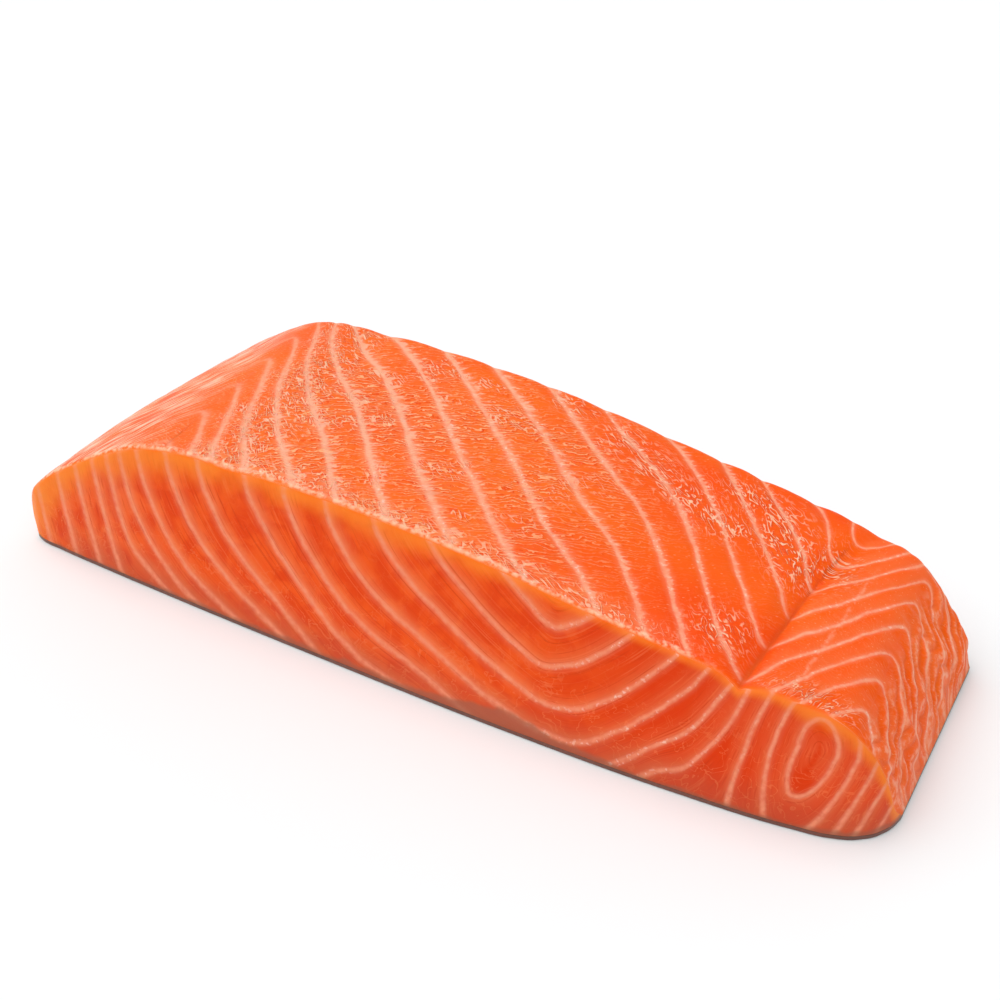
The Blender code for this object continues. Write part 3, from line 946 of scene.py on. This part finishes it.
class SalmonColours(bpy.types.PropertyGroup):
    """Colours of the fillet, as sRGB hex codes."""

    face: bpy.props.StringProperty(
        name="Outer face", description="Flesh that the ribs lay against", default="FA660A")
    face_deep: bpy.props.StringProperty(
        name="Outer face, deep", description="Its more saturated patches", default="F24A04")
    # Painted shade beside each wrinkle and each curl
    wrinkle_shade: bpy.props.StringProperty(
        name="Furrows", description="Between its wrinkles", default="EE4A08")
    # Painted shade in the groove's crease and between the leaves of the back edge
    crease_shade: bpy.props.StringProperty(
        name="Creases", description="The groove and the gaps between leaves", default="E05014")
    # Pale wrinkle crests: partly the paler tissue and partly a painted highlight
    wrinkle: bpy.props.StringProperty(
        name="Wrinkles", description="Crests of its wrinkles", default="FCAC7C")
    # Also the colour of the painted highlights on the curls
    streak: bpy.props.StringProperty(
        name="Streaks", description="Fatty streaks of the belly slope, and the lip of the front cut",
        default="FFC6A6")
    # Painted glints: bright dots on the septa
    wet: bpy.props.StringProperty(
        name="Beads", description="Wet beads along the septa", default="FFE2D2")
    septum: bpy.props.StringProperty(
        name="Septa", description="The pale sheets between the muscle blocks", default="FCAA8A")
    cut: bpy.props.StringProperty(
        name="Cut face", description="Flesh on the knife's cuts", default="F4601C")
    cut_deep: bpy.props.StringProperty(
        name="Cut face, deep", description="Its darker patches", default="E03C04")
    cut_fleck: bpy.props.StringProperty(
        name="Cut face, flecks", description="Fine dark gaps between its fibres", default="CE3604")
    cut_pale: bpy.props.StringProperty(
        name="Cut face, pale", description="Beside each septum", default="F4824E")
    cut_low: bpy.props.StringProperty(
        name="Cut face, low", description="Near the skin", default="C2563A")
    cut_septum: bpy.props.StringProperty(
        name="Cut septa", description="Septa on the knife's cuts", default="F49E7A")
    # Painted light: the bright band where light shines through the thin top edge of a cut
    edge_light_band: bpy.props.StringProperty(
        name="Edge band", description="Clear flesh under the top edge of a cut", default="FF8A28")
    skin_fat: bpy.props.StringProperty(
        name="Fat over the skin", description="Grey-brown layer under the flesh", default="A8604A")
    skin: bpy.props.StringProperty(
        name="Skin", description="Grey-brown of the skin's scales", default="6E4438")
    skin_brown: bpy.props.StringProperty(
        name="Skin, brown", description="Its browner mottling", default="7A4A3C")
    skin_edge: bpy.props.StringProperty(
        name="Skin, scale edges", description="Darker rim of each scale", default="3A3230")


class SalmonStage(bpy.types.PropertyGroup):
    """The studio."""

    floor: bpy.props.StringProperty(
        name="Floor", description="Colour of the pale floor", default="F4F7F8")
    sky: bpy.props.FloatProperty(
        name="Fill light", description="Strength of the even light from all sides", default=0.62)
    sun: bpy.props.FloatProperty(
        name="Main light", description="Strength of the broad light from the left", default=1.68)
    glint: bpy.props.FloatProperty(
        name="Back lights", description="Power of each lamp that the wet film mirrors", default=4.0,
        unit="POWER")
    lens: bpy.props.FloatProperty(
        name="Lens", description="Focal length on a 36 mm sensor", default=54.0)


# ---- Operators ----


class SALMON_OT_flesh(bpy.types.Operator):
    """Makes the flesh"""

    bl_idname = "salmon.flesh"
    bl_label = "Flesh"

    def execute(self, context):
        scene = context.scene
        places, marks = flesh_grids(scene.salmon_sizes)
        places[..., :2] -= box_centre()
        mesh = closed_mesh("salmon_flesh", places * MM, marks)
        material = flesh_material(scene.salmon_colours, scene.salmon_sizes)
        add_piece(mesh, material, "flesh")
        return {"FINISHED"}


class SALMON_OT_skin(bpy.types.Operator):
    """Makes the skin"""

    bl_idname = "salmon.skin"
    bl_label = "Skin"

    def execute(self, context):
        places = skin_tube(200, 70)
        places[..., :2] -= box_centre()
        mesh = tube_mesh("salmon_skin", places * MM)
        scene = context.scene
        material = skin_material(scene.salmon_colours, scene.salmon_sizes)
        add_piece(mesh, material, "skin")
        return {"FINISHED"}


class SALMON_OT_stage(bpy.types.Operator):
    """Makes the floor, the lights and the camera"""

    bl_idname = "salmon.stage"
    bl_label = "Studio"

    def execute(self, context):
        scene = context.scene
        stage = scene.salmon_stage
        mesh = bpy.data.meshes.new("floor")
        far = FLOOR_SIDE / 2
        mesh.from_pydata([(-far, -far, 0), (far, -far, 0), (far, far, 0), (-far, far, 0)],
                         [], [(0, 1, 2, 3)])
        # Matt painted board, so that only the fillet's soft shadow shows on it
        material, _, shader = new_material("matt white studio board")
        shader.inputs["Base Color"].default_value = colour(stage.floor)
        shader.inputs["Roughness"].default_value = 0.9
        shader.inputs["Specular IOR Level"].default_value = 0.1
        mesh.materials.append(material)
        floor = bpy.data.objects.new("floor", mesh)
        floor.location.z = -FLOOR_DROP
        scene.collection.objects.link(floor)

        world = bpy.data.worlds.new("studio")
        world.use_nodes = True
        background = world.node_tree.nodes["Background"]
        background.inputs["Color"].default_value = (1.0, 1.0, 1.0, 1.0)
        background.inputs["Strength"].default_value = stage.sky
        scene.world = world

        light = bpy.data.lights.new("broad light", "SUN")
        light.energy = stage.sun
        light.angle = np.radians(BROAD_LIGHT_ANGLE)
        lamp = bpy.data.objects.new("broad light", light)
        lamp.visible_glossy = False
        lamp.rotation_euler = Vector(BROAD_LIGHT_TOWARDS).to_track_quat("-Z", "Y").to_euler()
        scene.collection.objects.link(lamp)

        # Two small lamps that only the wet film mirrors
        for name, place in LAMPS:
            light = bpy.data.lights.new(name, "AREA")
            light.shape = "DISK"
            light.size = LAMP_WIDE
            light.energy = stage.glint
            lamp = bpy.data.objects.new(name, light)
            lamp.visible_diffuse = False
            lamp.location = place
            lamp.rotation_euler = (-lamp.location).to_track_quat("-Z", "Y").to_euler()
            scene.collection.objects.link(lamp)

        camera = bpy.data.cameras.new("camera")
        camera.lens = stage.lens
        camera.sensor_width = 36.0
        camera.clip_start = 0.01
        eye = bpy.data.objects.new("camera", camera)
        eye.location = CAMERA_PLACE
        azimuth, elevation = np.radians((CAMERA_AZIMUTH, CAMERA_ELEVATION))
        forward = Vector((-np.sin(azimuth) * np.cos(elevation), np.cos(azimuth) * np.cos(elevation),
                          -np.sin(elevation)))
        eye.rotation_euler = forward.to_track_quat("-Z", "Y").to_euler()
        scene.collection.objects.link(eye)
        scene.camera = eye
        scene.view_settings.view_transform = "Standard"
        return {"FINISHED"}


class SALMON_PT_fillet(bpy.types.Panel):
    """The fillet's panel"""

    bl_idname = "SALMON_PT_fillet"
    bl_label = "Salmon fillet"
    bl_space_type = "VIEW_3D"
    bl_region_type = "UI"
    bl_category = "Salmon fillet"

    def draw(self, context):
        scene = context.scene
        for group in (scene.salmon_sizes, scene.salmon_colours, scene.salmon_stage):
            for name in group.__annotations__:
                self.layout.prop(group, name)
        for maker in (SALMON_OT_flesh, SALMON_OT_skin, SALMON_OT_stage):
            self.layout.operator(maker.bl_idname)


CLASSES = (SalmonSizes, SalmonColours, SalmonStage, SALMON_OT_flesh, SALMON_OT_skin, SALMON_OT_stage,
           SALMON_PT_fillet)


def register():
    for made in CLASSES:
        bpy.utils.register_class(made)
    bpy.types.Scene.salmon_sizes = bpy.props.PointerProperty(type=SalmonSizes)
    bpy.types.Scene.salmon_colours = bpy.props.PointerProperty(type=SalmonColours)
    bpy.types.Scene.salmon_stage = bpy.props.PointerProperty(type=SalmonStage)


def unregister():
    del bpy.types.Scene.salmon_stage
    del bpy.types.Scene.salmon_colours
    del bpy.types.Scene.salmon_sizes
    for made in reversed(CLASSES):
        bpy.utils.unregister_class(made)


def main():
    register()
    bpy.ops.salmon.flesh()
    bpy.ops.salmon.skin()
    bpy.ops.salmon.stage()


if __name__ == "__main__":
    main()
